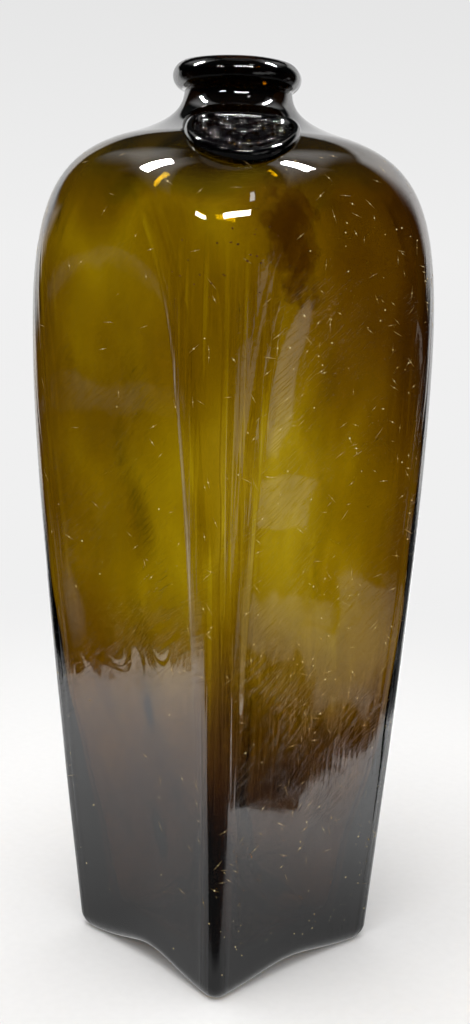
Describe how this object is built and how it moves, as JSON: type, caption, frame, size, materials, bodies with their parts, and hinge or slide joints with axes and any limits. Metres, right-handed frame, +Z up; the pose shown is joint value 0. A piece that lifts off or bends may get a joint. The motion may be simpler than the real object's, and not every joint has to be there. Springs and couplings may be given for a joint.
{
  "type": "square glass bottle",
  "caption": "Square shouldered bottle in dark blown glass, tapering to the foot, with sunken faces, a short neck, a wound-on lip and a round pressed seal.",
  "frame": {"origin": "on the shelf, under the middle of the body's widest part", "axes": "+Z up through the mouth; the four faces look along +X, -X, +Y and -Y; the seal is near the +X -Y corner of the shoulder"},
  "size_m": [0.0956, 0.0956, 0.266],
  "materials": {
    "olive_glass": "glossy blown olive-amber glass with seeds, ripples and light scratches",
    "dark_lip_glass": "glossy, thick enough to look nearly black",
    "dark_seal_glass": "glossy pressed pad, nearly black"
  },
  "bodies": {
    "root": {"bottle_body": "olive_glass", "applied_lip": "dark_lip_glass", "applied_seal": "dark_seal_glass"}
  },
  "joints": []
}
